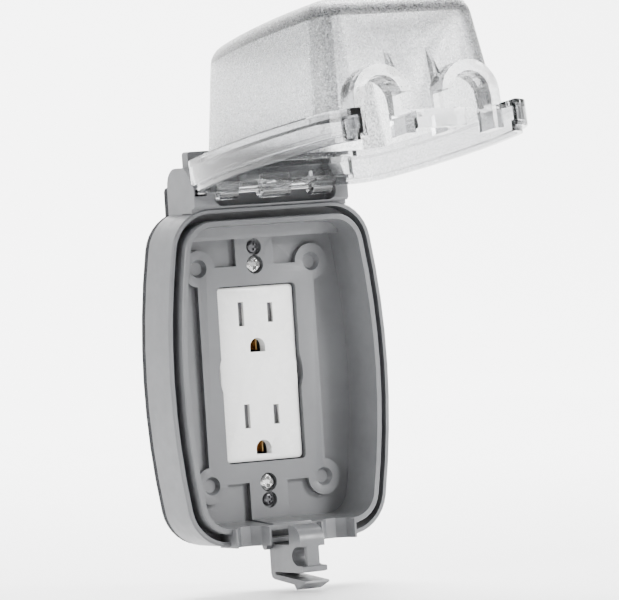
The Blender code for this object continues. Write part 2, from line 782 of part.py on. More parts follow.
def gusset(side):
    """A thin triangular rib that runs up the end wall from the arch's shoulder."""
    wall_down = DOME_HEAD[2] + (DOME_FOOT[2] - DOME_HEAD[2]) * (DOME_OUT - GUSSET_TOP_OUT) / (
        DOME_OUT - FLANGE_OUT
    )
    profile = [
        (wall_down - 0.8 * MM, GUSSET_TOP_OUT),
        (ARCH_FACE_DOWN - 1.2 * MM, GUSSET_FOOT_OUT),
        (DOME_FOOT[2] - 3.5 * MM, GUSSET_FOOT_OUT),
    ]
    half = GUSSET_THICKNESS / 2
    centre = side * GUSSET_X
    return loft(
        "gusset",
        [[cover_point(x, down, out) for down, out in profile] for x in (centre - half, centre + half)],
    )


def cover_knuckles():
    """The barrels that turn on the hinge pin, each with an arm to the flange."""
    made = []
    for left, right in KNUCKLES_X:
        barrel = rod("knuckle", (left, HINGE_Y, HINGE_Z), (right, HINGE_Y, HINGE_Z), KNUCKLE_RADIUS)
        arm = cover_box("arm", (left, 0, 5.6 * MM), (right, FLANGE_TOP_DOWN + 2.0 * MM, 0.6 * MM))
        join(barrel, arm)
        made.append(barrel)
    return made


def clear_cover(hinge):
    cover = cover_flange()
    dome = dome_solid("dome", 0, FLANGE_OUT - COVER_WALL / 2, 0)
    for side in (-1, 1):
        outer = ARCH_INNER_RADIUS + ARCH_WALL
        join(dome, arch("collar", side, outer, DOME_HEAD[2] - 4 * MM, ARCH_FACE_DOWN), gusset(side))
    join(cover, dome)
    cut(cover, dome_solid("hollow", COVER_WALL, SEAT_OUT - 8 * MM, COVER_WALL))
    end = COVER_LENGTH + 5 * MM
    high = FLANGE_OUT + OVERLAP
    for side in (-1, 1):
        inner, outer = sorted((side * STRIKE_HALF_WIDTH, side * FLANGE_END_X))
        cut(
            cover,
            cover_box("end_gap", (inner, ARCH_FACE_DOWN, high), (outer, end, -5 * MM)),
            arch("cord_opening", side, ARCH_INNER_RADIUS, DOME_HEAD[2] - 20 * MM, end),
        )
    strike_out = SEAT_OUT + STRIKE_HEIGHT
    strike_inside = COVER_LENGTH - COVER_WALL
    cut(
        cover,
        cover_box(
            "above_strike",
            (-STRIKE_HALF_WIDTH - OVERLAP, DOME_FOOT[2] + 1.8 * MM, high + 5 * MM),
            (STRIKE_HALF_WIDTH + OVERLAP, end, strike_out),
        ),
    )
    for side in (-1, 1):
        near, far = sorted((side * STRIKE_WINDOW_HALF_WIDTH, side * STRIKE_HALF_WIDTH))
        join(
            cover,
            cover_box(
                "web",
                (near, ARCH_FACE_DOWN - 2 * MM, strike_out),
                (far, strike_inside + 1.0 * MM, strike_out - COVER_WALL),
            ),
        )
    join(cover, *cover_knuckles())
    reach = NECK_HALF_WIDTH
    radius = HINGE_PIN_RADIUS + PIN_FIT
    cut(cover, rod("bore", (-reach, HINGE_Y, HINGE_Z), (reach, HINGE_Y, HINGE_Z), radius, SMALL_ROUND))
    cover.data.materials.clear()
    cover.data.materials.append(clear_plastic())
    smooth(cover)
    place(cover, hinge.location, hinge)
    return cover


def hinge_pin():
    reach = NECK_HALF_WIDTH - 2.2 * MM
    pin = rod(
        "hinge_pin",
        (-reach, HINGE_Y, HINGE_Z),
        (reach, HINGE_Y, HINGE_Z),
        HINGE_PIN_RADIUS,
        SMALL_ROUND,
        look=bright_steel(),
    )
    smooth(pin)
    return pin


# ---------------------------------------------------------------- latch


def latch_profile():
    """The latch seen from its side: head, seat for the cover's strike, block and thumb plate below."""
    front, back = LATCH_FRONT_Y, LATCH_PIVOT_Y + 1.6 * MM
    head = LATCH_HEAD_TOP_Z
    shoulder = 5.9 * MM
    reach = LATCH_HEAD_BACK_Y - 1.6 * MM - front
    points = [(LATCH_PIVOT_Y, LATCH_SEAT_Z), (LATCH_HEAD_BACK_Y, LATCH_SEAT_Z), (LATCH_HEAD_BACK_Y, head)]
    for step in range(7):
        angle = math.radians(90 - 90 * step / 6)
        points.append((front + reach * (1 - math.cos(angle)), head - shoulder * (1 - math.sin(angle))))
    bottom = LATCH_BLOCK_BOTTOM_Z
    points += [
        (front, bottom + 2.6 * MM),
        (front - 1.0 * MM, bottom + 2.2 * MM),
        (front - 0.9 * MM, bottom + 0.5 * MM),
        (front + 1.8 * MM, bottom),
        (back - 3.4 * MM, bottom),
        (back - 3.4 * MM, bottom - 1.0 * MM),
        (front - 1.8 * MM, bottom - 3.1 * MM),
        (front - 2.0 * MM, bottom - 3.8 * MM),
        (front + 5.2 * MM, bottom - 6.4 * MM),
        (front + 7.1 * MM, bottom - 4.5 * MM),
        (back - 2.6 * MM, bottom - 2.9 * MM),
        (back - 0.8 * MM, bottom - 2.2 * MM),
        (back, bottom - 0.6 * MM),
        (back, LATCH_PIVOT_Z),
    ]
    return points


def shackle_hole():
    """The cutter for the D-shaped padlock hole, straight towards the front and round at the back."""
    straight = LATCH_FRONT_Y + SHACKLE_WEB
    middle = LATCH_SEAT_Z - 0.6 * MM - SHACKLE_HOLE_HEIGHT / 2
    radius = SHACKLE_HOLE_HEIGHT / 2
    bow = [
        (straight + SHACKLE_HOLE_DEPTH * math.cos(a), middle + radius * math.sin(a))
        for a in (math.radians(90 - 180 * i / 10) for i in range(11))
    ]
    reach = LATCH_HALF_WIDTH + OVERLAP
    hole = prism_x("hole", bow, -reach, reach)
    for side in (-1, 1):
        near, far = sorted((side * SHACKLE_WEB_HALF_WIDTH, side * reach))
        corner = box(
            "corner",
            (near, LATCH_FRONT_Y - 3 * MM, middle - radius),
            (far, straight + 0.2 * MM, middle + radius),
        )
        join(hole, corner)
    return hole


def latch_hasp(pivot):
    latch = prism_x("latch_hasp", latch_profile(), -LATCH_HALF_WIDTH, LATCH_HALF_WIDTH, grey_plastic())
    ends = (-LATCH_HALF_WIDTH, LATCH_HALF_WIDTH)
    knuckle = rod(
        "knuckle",
        (ends[0], LATCH_PIVOT_Y, LATCH_PIVOT_Z),
        (ends[1], LATCH_PIVOT_Y, LATCH_PIVOT_Z),
        LATCH_KNUCKLE_RADIUS,
    )
    join(latch, knuckle)
    cut(latch, shackle_hole())
    reach = LATCH_HALF_WIDTH + OVERLAP
    pivot_line = (LATCH_PIVOT_Y, LATCH_PIVOT_Z)
    cut(
        latch,
        rod("bore", (-reach, *pivot_line), (reach, *pivot_line), LATCH_PIN_RADIUS + PIN_FIT, SMALL_ROUND),
    )
    smooth(latch)
    place(latch, pivot.location, pivot)
    return latch


def latch_pin():
    reach = LATCH_HALF_WIDTH + LATCH_SIDE_FIT + LATCH_LUG_WIDTH - 0.9 * MM
    line = (LATCH_PIVOT_Y, LATCH_PIVOT_Z)
    pin = rod(
        "latch_pin", (-reach, *line), (reach, *line), LATCH_PIN_RADIUS, SMALL_ROUND, look=bright_steel()
    )
    smooth(pin)
    return pin


# ---------------------------------------------------------------- receptacle


def ground_outline(z, grow=0.0):
    """The D of a ground opening: round above, flat below."""
    half = GROUND_WIDTH / 2 + grow
    height = GROUND_HEIGHT / 2 + grow
    spring_line = z + height - half
    return [(-half, z - height), (half, z - height)] + arc((0, spring_line), half, 0, 180, 10)


def pocket_end_x():
    return FACE_HALF_WIDTH - 3.4 * MM


def receptacle_face():
    back = body_front() - GAP
    face = loft(
        "receptacle_face",
        [
            [
                (x, y, z)
                for x, z in rounded_rectangle(
                    -FACE_HALF_WIDTH + inset,
                    FACE_HALF_WIDTH - inset,
                    -FACE_HALF_HEIGHT + inset,
                    FACE_HALF_HEIGHT - inset,
                    FACE_CORNER,
                )
            ]
            for y, inset in ((FACE_Y, 0.4 * MM), (FACE_Y + 0.4 * MM, 0), (back, 0))
        ],
        white_plastic(),
    )
    for z in OUTLET_Z:
        pocket_half_height = SHUTTER_HALF_HEIGHT + 0.4 * MM
        cut(
            face,
            box(
                "pocket",
                (-pocket_end_x(), FACE_Y + FACE_WALL, z - pocket_half_height),
                (pocket_end_x(), back + OVERLAP, z + pocket_half_height),
            ),
        )
        for x, height in ((-BLADE_X, NEUTRAL_SLOT_HEIGHT), (BLADE_X, HOT_SLOT_HEIGHT)):
            cut(
                face,
                box(
                    "slot",
                    (x - BLADE_SLOT_WIDTH / 2, FACE_Y - OVERLAP, z - height / 2),
                    (x + BLADE_SLOT_WIDTH / 2, back, z + height / 2),
                ),
            )
        cut(face, prism_y("ground", ground_outline(z - GROUND_DROP), FACE_Y - OVERLAP, back + OVERLAP))
    smooth(face)
    return face


def shutter(name, z):
    """The slider behind one outlet's blade slots. Its windows meet them after its travel to the right."""
    half_run = pocket_end_x() - GAP
    front = FACE_Y + FACE_WALL + GAP
    right = half_run - SHUTTER_TRAVEL - 1.6 * MM
    made = box(
        name,
        (-half_run, front, z - SHUTTER_HALF_HEIGHT),
        (right, front + SHUTTER_THICKNESS, z + SHUTTER_HALF_HEIGHT),
        material("shutter_plastic", (0.45, 0.45, 0.46), 0.5),
    )
    half_window = BLADE_SLOT_WIDTH / 2 + 0.1 * MM
    window_reach = SHUTTER_HALF_HEIGHT - 0.6 * MM
    for x in (-BLADE_X, BLADE_X):
        centre = x - SHUTTER_TRAVEL
        cut(
            made,
            box(
                "window",
                (centre - half_window, front - OVERLAP, z - window_reach),
                (centre + half_window, front + SHUTTER_THICKNESS + OVERLAP, z + window_reach),
            ),
        )
    place(made, (0, front, z))
    return made


def coil(name, start, end, radius, wire_radius, turns, look):
    """A round wire wound along X, closed at both ends."""
    steps, sides = int(turns * 12), 6
    loops = []
    for i in range(steps + 1):
        share = i / steps
        angle = 2 * math.pi * turns * share
        x = start[0] + (end[0] - start[0]) * share
        loop = []
        for k in range(sides):
            turn = 2 * math.pi * k / sides
            reach = radius + wire_radius * math.cos(turn)
            loop.append(
                (
                    x + wire_radius * math.sin(turn),
                    start[1] + reach * math.cos(angle),
                    start[2] + reach * math.sin(angle),
                )
            )
        loops.append(loop)
    made = loft(name, loops, look)
    smooth(made, 60)
    return made


def shutter_spring(name, z):
    wire = 0.15 * MM
    half_run = pocket_end_x() - GAP
    left = half_run - SHUTTER_TRAVEL - 1.6 * MM + GAP + wire
    right = pocket_end_x() - GAP - wire
    y = FACE_Y + FACE_WALL + GAP + SHUTTER_THICKNESS / 2
    return coil(name, (left, y, z), (right, y, z), 0.6 * MM, wire, 4, bright_steel())


def strap_plane():
    front = BACK_Y + GAP
    return front, front + STRAP_THICKNESS


def mounting_strap():
    """The steel yoke: a ring around the device with a tab above and below for the screws."""
    front, back = strap_plane()
    inner_x, inner_z = FACE_HALF_WIDTH + FACE_FIT, FACE_HALF_HEIGHT + FACE_FIT
    outer_x, outer_z = inner_x + STRAP_RING, inner_z + STRAP_RING
    strap = prism_y(
        "mounting_strap",
        rounded_rectangle(-outer_x, outer_x, -outer_z, outer_z, 1.5 * MM, 2),
        front,
        back,
        bright_steel(),
    )
    half = STRAP_TAB_HALF_WIDTH
    tab = rounded_rectangle(-half, half, -STRAP_HALF_HEIGHT, STRAP_HALF_HEIGHT, 2.5 * MM, 3)
    join(strap, prism_y("tab", tab, front, back))
    window = rounded_rectangle(-inner_x, inner_x, -inner_z, inner_z, FACE_CORNER, 2)
    cut(strap, prism_y("window", window, front - OVERLAP, back + OVERLAP))
    for sz in (-1, 1):
        for z, radius in (
            (sz * DEVICE_SCREW_Z, DEVICE_SHANK_RADIUS + 0.4 * MM),
            (sz * PLATE_SCREW_Z, PLATE_SHANK_RADIUS + GAP),
        ):
            cut(strap, rod("hole", (0, front - OVERLAP, z), (0, back + OVERLAP, z), radius))
    x, z = ground_screw_place()
    radius = TERMINAL_SHANK_RADIUS + GAP
    cut(strap, rod("hole", (x, front - OVERLAP, z), (x, back + OVERLAP, z), radius, SMALL_ROUND))
    smooth(strap)
    return strap


def body_front():
    return strap_plane()[1] + GAP


def cavities():
    """The hollows of the receptacle's body as (left, right, bottom, top, depth), each open to the front."""
    clearance = 1.2 * MM
    upper, lower = OUTLET_Z
    half_contact = 3.6 * MM
    side = (
        BLADE_X - BLADE_SLOT_WIDTH / 2 - clearance,
        BLADE_X + BLADE_SLOT_WIDTH / 2 + clearance,
        lower - half_contact - clearance,
        upper + half_contact + clearance,
        13.0 * MM,
    )
    half_ground = GROUND_WIDTH / 2 + GAP
    ground = (
        -half_ground,
        half_ground,
        lower - GROUND_DROP - GROUND_HEIGHT / 2 - GAP,
        upper - GROUND_DROP + GROUND_HEIGHT / 2 + GAP,
        16.0 * MM,
    )
    mirrored = (-side[1], -side[0], *side[2:])
    return {"hot": side, "neutral": mirrored, "ground": ground}


def terminal_places():
    """Name, side and height of each terminal screw."""
    return [
        ("hot_terminal_screw_upper", 1, 11.0 * MM),
        ("hot_terminal_screw_lower", 1, -11.0 * MM),
        ("neutral_terminal_screw_upper", -1, 11.0 * MM),
        ("neutral_terminal_screw_lower", -1, -11.0 * MM),
    ]


def terminal_y():
    return body_front() + 9.0 * MM


def rivet_places():
    return [("receptacle_rivet_upper", 30.8 * MM), ("receptacle_rivet_lower", -3.2 * MM)]


def receptacle_body():
    """The moulded body behind the yoke, with cavities for the contacts."""
    front = body_front()
    back = front + BODY_DEPTH
    body = prism_y(
        "receptacle_body",
        rounded_rectangle(
            -BODY_HALF_WIDTH, BODY_HALF_WIDTH, -FACE_HALF_HEIGHT, FACE_HALF_HEIGHT, FACE_CORNER, 2
        ),
        front,
        back,
        black_nylon(),
    )
    inner_x = FACE_HALF_WIDTH + FACE_FIT + STRAP_RING - 0.6 * MM
    inner_z = FACE_HALF_HEIGHT + FACE_FIT + STRAP_RING - 0.6 * MM
    flange = rounded_rectangle(-inner_x, inner_x, -inner_z, inner_z, FACE_CORNER, 2)
    join(body, prism_y("flange", flange, front, front + BODY_FLANGE_DEPTH))
    for left, right, bottom, top, depth in cavities().values():
        cut(body, box("cavity", (left, front - OVERLAP, bottom), (right, front + depth, top)))
    y = terminal_y()
    slot_half = 0.35 * MM + GAP
    for side in (-1, 1):
        near, far = sorted((side * (BLADE_X + 2.0 * MM), side * (BODY_HALF_WIDTH + OVERLAP)))
        cut(body, box("slot", (near, y - slot_half, -5.3 * MM), (far, y + slot_half, 5.3 * MM)))
    for _, side, z in terminal_places():
        end = side * (BODY_HALF_WIDTH - TERMINAL_SHANK_LENGTH)
        cut(
            body,
            rod(
                "hole",
                (side * (BODY_HALF_WIDTH + OVERLAP), y, z),
                (end, y, z),
                TERMINAL_SHANK_RADIUS + GAP,
                SMALL_ROUND,
            ),
        )
    radius = RIVET_RADIUS + GAP
    for _, z in rivet_places():
        cut(body, rod("hole", (0, front - OVERLAP, z), (0, back + OVERLAP, z), radius, SMALL_ROUND))
    return body


def blade_contact(x, z):
    """Two leaves that grip one blade, joined at their back."""
    half_gap = 0.95 * MM
    outer = half_gap + CONTACT_SHEET
    front, back = body_front() + 0.8 * MM, terminal_y() + CONTACT_SHEET / 2
    half = 3.4 * MM
    contact = box("contact", (x - outer, front, z - half), (x + outer, back, z + half))
    past = half + OVERLAP
    gap = box(
        "gap", (x - half_gap, front - OVERLAP, z - past), (x + half_gap, back - CONTACT_SHEET, z + past)
    )
    cut(contact, gap)
    return contact


def power_bus(name, side, look):
    """One line's contacts, the bar that joins them and the plate under its terminal screws."""
    upper, lower = OUTLET_Z
    y = terminal_y()
    half_sheet = CONTACT_SHEET / 2
    x = side * BLADE_X
    bus = box(name, (x - 1.65 * MM, y - half_sheet, lower), (x + 1.65 * MM, y + half_sheet, upper), look)
    join(bus, blade_contact(x, upper), blade_contact(x, lower))
    near, far = sorted((x, side * (TERMINAL_PLATE_INNER + CONTACT_SHEET / 2)))
    join(bus, box("arm", (near, y - half_sheet, -5.0 * MM), (far, y + half_sheet, 5.0 * MM)))
    near, far = sorted((side * TERMINAL_PLATE_INNER, side * (TERMINAL_PLATE_INNER + CONTACT_SHEET)))
    join(bus, box("plate", (near, y - 4.2 * MM, -15.5 * MM), (far, y + 4.2 * MM, 15.5 * MM)))
    for _, screw_side, z in terminal_places():
        if screw_side == side:
            reach = side * (TERMINAL_PLATE_INNER + CONTACT_SHEET + OVERLAP)
            start = side * (TERMINAL_PLATE_INNER - OVERLAP)
            radius = TERMINAL_SHANK_RADIUS + GAP
            cut(bus, rod("hole", (start, y, z), (reach, y, z), radius, SMALL_ROUND))
    return bus


def ground_bus():
    """The ground contacts: a pair of leaves behind each ground opening, on one bar."""
    upper, lower = (z - GROUND_DROP for z in OUTLET_Z)
    outer = GROUND_WIDTH / 2 - GAP
    half_gap = outer - CONTACT_SHEET
    front = body_front() + 1.2 * MM
    back = front + 12.5 * MM
    bar_low, bar_high = lower - 2.2 * MM, upper + 2.2 * MM
    bus = box("ground_bus", (-outer, back - CONTACT_SHEET, bar_low), (outer, back, bar_high), brass())
    for z in (upper, lower):
        clip = box("clip", (-outer, front, z - 2.2 * MM), (outer, back, z + 2.2 * MM))
        cut(
            clip,
            box(
                "gap",
                (-half_gap, front - OVERLAP, z - 4 * MM),
                (half_gap, back - CONTACT_SHEET, z + 4 * MM),
            ),
        )
        join(bus, clip)
    _, rivet_z = rivet_places()[1]
    radius = RIVET_RADIUS + GAP
    cut(bus, rod("hole", (0, back - 2 * MM, rivet_z), (0, back + OVERLAP, rivet_z), radius, SMALL_ROUND))
    return bus


# ---------------------------------------------------------------- fasteners


def screw(name, head, direction, head_radius, head_height, shank_radius, shank_length, look, cross=True):
    """A domed screw: head is the middle of its top, direction points down its shank."""
    head, direction = Vector(head), Vector(direction)
    turn = direction.to_track_quat("Z", "Y")
    levels = (
        (0.0, head_radius * 0.55),
        (head_height * 0.22, head_radius * 0.88),
        (head_height * 0.5, head_radius),
        (head_height, head_radius),
        (head_height, shank_radius),
        (head_height + shank_length - shank_radius * 0.6, shank_radius),
        (head_height + shank_length, shank_radius * 0.5),
    )
    loops = [
        [head + direction * depth + turn @ Vector((x, y, 0)) for x, y in ring((0, 0), radius, ROUND)]
        for depth, radius in levels
    ]
    made = loft(name, loops, look)
    if cross:
        width, reach, depth = head_radius * 0.22, head_radius * 0.62, head_height * 0.6
        for a, b in ((width, reach), (reach, width)):
            corners = [(-a, -b), (a, -b), (a, b), (-a, b)]
            bar = loft(
                "bar",
                [
                    [head + direction * level + turn @ Vector((x, y, 0)) for x, y in corners]
                    for level in (-OVERLAP, depth)
                ],
            )
            cut(made, bar)
    smooth(made)
    return made


def device_screw(name, z):
    return screw(
        name,
        (0, PLATEAU_Y + DEVICE_HEAD_SUNK, z),
        (0, 1, 0),
        DEVICE_HEAD_RADIUS,
        DEVICE_HEAD_HEIGHT,
        DEVICE_SHANK_RADIUS,
        DEVICE_SHANK_LENGTH,
        bright_steel(),
    )


def plate_screw(name, z):
    return screw(
        name,
        (0, PLATEAU_Y + PLATE_RECESS_DEPTH - GAP - PLATE_HEAD_HEIGHT, z),
        (0, 1, 0),
        PLATE_HEAD_RADIUS,
        PLATE_HEAD_HEIGHT,
        PLATE_SHANK_RADIUS,
        PLATE_SHANK_LENGTH,
        dark_steel(),
    )


def terminal_screw(name, side, z, look):
    top = TERMINAL_PLATE_INNER + CONTACT_SHEET + GAP + TERMINAL_HEAD_HEIGHT
    return screw(
        name,
        (side * top, terminal_y(), z),
        (-side, 0, 0),
        TERMINAL_HEAD_RADIUS,
        TERMINAL_HEAD_HEIGHT,
        TERMINAL_SHANK_RADIUS,
        TERMINAL_SHANK_LENGTH,
        look,
    )


def ground_screw_place():
    return -5.6 * MM, -(FACE_HALF_HEIGHT + FACE_FIT + STRAP_RING) - 3.5 * MM


def ground_screw():
    x, z = ground_screw_place()
    back = strap_plane()[1]
    return screw(
        "ground_terminal_screw",
        (x, back + GAP + TERMINAL_HEAD_HEIGHT, z),
        (0, -1, 0),
        TERMINAL_HEAD_RADIUS,
        TERMINAL_HEAD_HEIGHT,
        TERMINAL_SHANK_RADIUS,
        STRAP_THICKNESS,
        green_steel(),
    )


def receptacle_rivet(name, z):
    """The rivet that holds the body's back to the face."""
    back = body_front() + BODY_DEPTH
    return screw(
        name,
        (0, back + GAP + RIVET_HEAD_HEIGHT, z),
        (0, -1, 0),
        RIVET_HEAD_RADIUS,
        RIVET_HEAD_HEIGHT,
        RIVET_RADIUS,
        BODY_DEPTH,
        bright_steel(),
        cross=False,
    )


# ---------------------------------------------------------------- assembly


def build():
    clear_scene()
    base_housing()
    wall_gasket()
    hinge = axis_empty("cover_hinge_axis", (0, HINGE_Y, HINGE_Z))
    clear_cover(hinge)
    hinge.rotation_euler.x = -math.radians(COVER_OPEN_DEGREES)
    hinge_pin()
    pivot = axis_empty("latch_axis", (0, LATCH_PIVOT_Y, LATCH_PIVOT_Z))
    latch_hasp(pivot)
    latch_pin()
    receptacle_face()
    receptacle_body()
    mounting_strap()
    for name, z in zip(("upper", "lower"), OUTLET_Z):
        shutter(f"{name}_shutter", z)
        shutter_spring(f"{name}_shutter_spring", z)
    power_bus("hot_contact_bus", 1, brass())
    power_bus("neutral_contact_bus", -1, brass())
    ground_bus()
    for name, sign in (("upper", 1), ("lower", -1)):
        device_screw(f"{name}_device_screw", sign * DEVICE_SCREW_Z)
        plate_screw(f"{name}_plate_screw", sign * PLATE_SCREW_Z)
    for name, side, z in terminal_places():
        terminal_screw(name, side, z, brass() if side > 0 else bright_steel())
    ground_screw()
    for name, z in rivet_places():
        receptacle_rivet(name, z)


build()
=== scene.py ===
"""The look of a weatherproof receptacle cover: materials, softened edges, lights and camera."""

import json
import math

import bmesh
import bpy
from mathutils import Matrix, Vector

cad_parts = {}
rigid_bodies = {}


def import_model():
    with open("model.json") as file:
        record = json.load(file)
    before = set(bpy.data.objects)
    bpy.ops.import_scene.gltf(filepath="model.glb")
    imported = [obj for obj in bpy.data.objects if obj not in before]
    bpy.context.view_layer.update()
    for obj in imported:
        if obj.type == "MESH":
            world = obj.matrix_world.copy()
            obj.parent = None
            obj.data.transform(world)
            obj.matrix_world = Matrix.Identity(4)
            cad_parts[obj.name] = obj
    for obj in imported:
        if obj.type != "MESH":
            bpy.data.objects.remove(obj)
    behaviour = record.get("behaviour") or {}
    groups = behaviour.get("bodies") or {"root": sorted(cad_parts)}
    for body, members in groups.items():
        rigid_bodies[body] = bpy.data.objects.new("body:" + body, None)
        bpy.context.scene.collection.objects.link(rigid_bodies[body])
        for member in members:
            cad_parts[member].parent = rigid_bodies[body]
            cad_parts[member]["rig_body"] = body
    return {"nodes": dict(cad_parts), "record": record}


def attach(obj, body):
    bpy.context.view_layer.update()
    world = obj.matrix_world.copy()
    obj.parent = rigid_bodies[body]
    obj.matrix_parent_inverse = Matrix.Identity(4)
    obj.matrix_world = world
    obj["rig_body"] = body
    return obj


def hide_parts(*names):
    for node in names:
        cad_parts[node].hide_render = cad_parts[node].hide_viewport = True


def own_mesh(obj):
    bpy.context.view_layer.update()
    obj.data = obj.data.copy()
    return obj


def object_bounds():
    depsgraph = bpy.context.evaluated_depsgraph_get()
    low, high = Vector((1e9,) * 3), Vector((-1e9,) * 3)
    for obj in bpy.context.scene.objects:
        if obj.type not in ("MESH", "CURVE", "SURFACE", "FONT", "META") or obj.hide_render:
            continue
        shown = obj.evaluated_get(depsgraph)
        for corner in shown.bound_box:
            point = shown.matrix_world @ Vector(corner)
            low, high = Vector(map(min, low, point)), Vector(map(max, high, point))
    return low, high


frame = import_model()
cad_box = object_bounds()
nodes = frame["nodes"]
MM = 0.001


# ---------------------------------------------------------------- node helpers


class Tree:
    """A short way to write a node tree."""

    def __init__(self, name):
        self.material = bpy.data.materials.new(name)
        self.material.use_nodes = True
        self.tree = self.material.node_tree
        self.tree.nodes.clear()
        output = self.add("ShaderNodeOutputMaterial")
        self.shader = self.add("ShaderNodeBsdfPrincipled")
        self.link(self.shader.outputs["BSDF"], output.inputs["Surface"])

    def add(self, kind):
        return self.tree.nodes.new(kind)

    def link(self, start, end):
        self.tree.links.new(start, end)

    def set(self, **values):
        """Constant values, by socket name with an underscore for each space."""
        for key, value in values.items():
            self.shader.inputs[key.replace("_", " ")].default_value = value

    def position(self):
        return self.add("ShaderNodeTexCoord").outputs["Object"]

    def noise(self, scale, detail=3.0, roughness=0.55, stretch=None):
        node = self.add("ShaderNodeTexNoise")
        node.inputs["Scale"].default_value = scale
        node.inputs["Detail"].default_value = detail
        node.inputs["Roughness"].default_value = roughness
        where = self.position()
        if stretch:
            mapping = self.add("ShaderNodeMapping")
            mapping.inputs["Scale"].default_value = stretch
            self.link(where, mapping.inputs["Vector"])
            where = mapping.outputs["Vector"]
        self.link(where, node.inputs["Vector"])
        return node.outputs["Fac"]

    def span(self, value, low, high, start=0.0, end=1.0):
        """The value's range from start to end, stretched to run from low to high."""
        node = self.add("ShaderNodeMapRange")
        node.inputs["From Min"].default_value = start
        node.inputs["From Max"].default_value = end
        node.inputs["To Min"].default_value = low
        node.inputs["To Max"].default_value = high
        self.link(value, node.inputs["Value"])
        return node.outputs["Result"]

    def ramp(self, value, *stops):
        """A colour for the value, through two stops of a place and a colour."""
        node = self.add("ShaderNodeValToRGB")
        for element, (place, colour) in zip(node.color_ramp.elements, stops):
            element.position = place
            element.color = (*colour, 1.0)
        self.link(value, node.inputs["Fac"])
        return node.outputs["Color"]

    def bump(self, height, strength, distance, under=None):
        node = self.add("ShaderNodeBump")
        node.inputs["Strength"].default_value = strength
        node.inputs["Distance"].default_value = distance
        self.link(height, node.inputs["Height"])
        if under:
            self.link(under, node.inputs["Normal"])
        return node.outputs["Normal"]

    def drive(self, socket, output):
        self.link(output, self.shader.inputs[socket])


def moulded_plastic(name, dark, light, roughness, grain=1600.0, grain_depth=0.05):
    """Injection-moulded plastic: a faint cloudiness, and a fine spark-eroded grain."""
    t = Tree(name)
    t.set(Specular_IOR_Level=0.5, IOR=1.5)
    t.drive("Base Color", t.ramp(t.noise(45.0, 4.0), (0.3, dark), (0.7, light)))
    t.drive("Roughness", t.span(t.noise(220.0, 3.0), roughness - 0.07, roughness + 0.07, 0.3, 0.7))
    fine = t.bump(t.noise(grain, 2.0), 0.25, grain_depth * MM)
    t.drive("Normal", t.bump(t.noise(90.0, 2.0), 0.1, 0.06 * MM, fine))
    return t.material


def foam(name):
    """Closed-cell foam with a pitted skin, its colour darkened into each pit as painted shade."""
    t = Tree(name)
    t.set(Specular_IOR_Level=0.25)
    cells = t.add("ShaderNodeTexVoronoi")
    cells.inputs["Scale"].default_value = 1500.0
    t.link(t.position(), cells.inputs["Vector"])
    # Painted shade: each cell is darker at its centre, where the bump below sinks it into a pit.
    shade = t.ramp(cells.outputs["Distance"], (0.1, (0.006, 0.006, 0.007)), (0.8, (0.035, 0.035, 0.038)))
    t.drive("Base Color", shade)
    t.drive("Roughness", t.span(t.noise(500.0), 0.8, 1.0))
    t.drive("Normal", t.bump(cells.outputs["Distance"], 0.6, 0.25 * MM))
    return t.material


def metal(name, dark, light, roughness):
    """Metal with a faint stain and fine marks along one direction."""
    t = Tree(name)
    t.set(Metallic=1.0)
    t.drive("Base Color", t.ramp(t.noise(160.0, 4.0), (0.3, dark), (0.7, light)))
    grain = t.noise(1.0, 3.0, stretch=(60.0, 900.0, 60.0))
    t.drive("Roughness", t.span(grain, roughness - 0.08, roughness + 0.1, 0.3, 0.7))
    t.drive("Normal", t.bump(grain, 0.2, 0.02 * MM))
    return t.material


def clear_plastic(name, dark, light, low, high, grain_strength):
    """Clear polycarbonate whose outside is finely textured, so it looks frosted and grainy."""
    t = Tree(name)
    t.set(Transmission_Weight=1.0, IOR=1.5, Specular_IOR_Level=0.5)
    t.drive("Base Color", t.ramp(t.noise(1400.0, 2.0), (0.38, dark), (0.6, light)))
    t.drive("Roughness", t.span(t.noise(1300.0, 2.0), low, high, 0.35, 0.65))
    t.drive("Normal", t.bump(t.noise(2100.0, 2.0), grain_strength, 0.12 * MM))
    return t.material


looks = {
    "grey_plastic": moulded_plastic(
        "look_grey_plastic", (0.098, 0.100, 0.105), (0.118, 0.121, 0.126), roughness=0.42
    ),
    "white_plastic": moulded_plastic(
        "look_white_plastic",
        (0.80, 0.80, 0.79),
        (0.84, 0.84, 0.83),
        roughness=0.26,
        grain=900.0,
        grain_depth=0.02,
    ),
    "shutter_plastic": moulded_plastic(
        "look_shutter_plastic", (0.13, 0.13, 0.135), (0.17, 0.17, 0.175), roughness=0.5
    ),
    "black_nylon": moulded_plastic(
        "look_black_nylon", (0.02, 0.02, 0.022), (0.032, 0.032, 0.034), roughness=0.5
    ),
    "black_foam": foam("look_black_foam"),
    "bright_steel": metal(
        "look_bright_steel", (0.36, 0.36, 0.36), (0.56, 0.56, 0.555), roughness=0.2
    ),
    "dark_steel": metal(
        "look_dark_steel", (0.035, 0.035, 0.038), (0.12, 0.12, 0.125), roughness=0.38
    ),
    "brass": metal("look_brass", (0.58, 0.36, 0.13), (0.76, 0.52, 0.22), roughness=0.3),
    "green_steel": metal("look_green_steel", (0.02, 0.16, 0.05), (0.04, 0.27, 0.09), roughness=0.35),
    "clear_plastic": clear_plastic(
        "look_clear_plastic", (0.42, 0.425, 0.435), (0.82, 0.825, 0.83), low=0.18, high=0.34, grain_strength=0.5
    ),
}
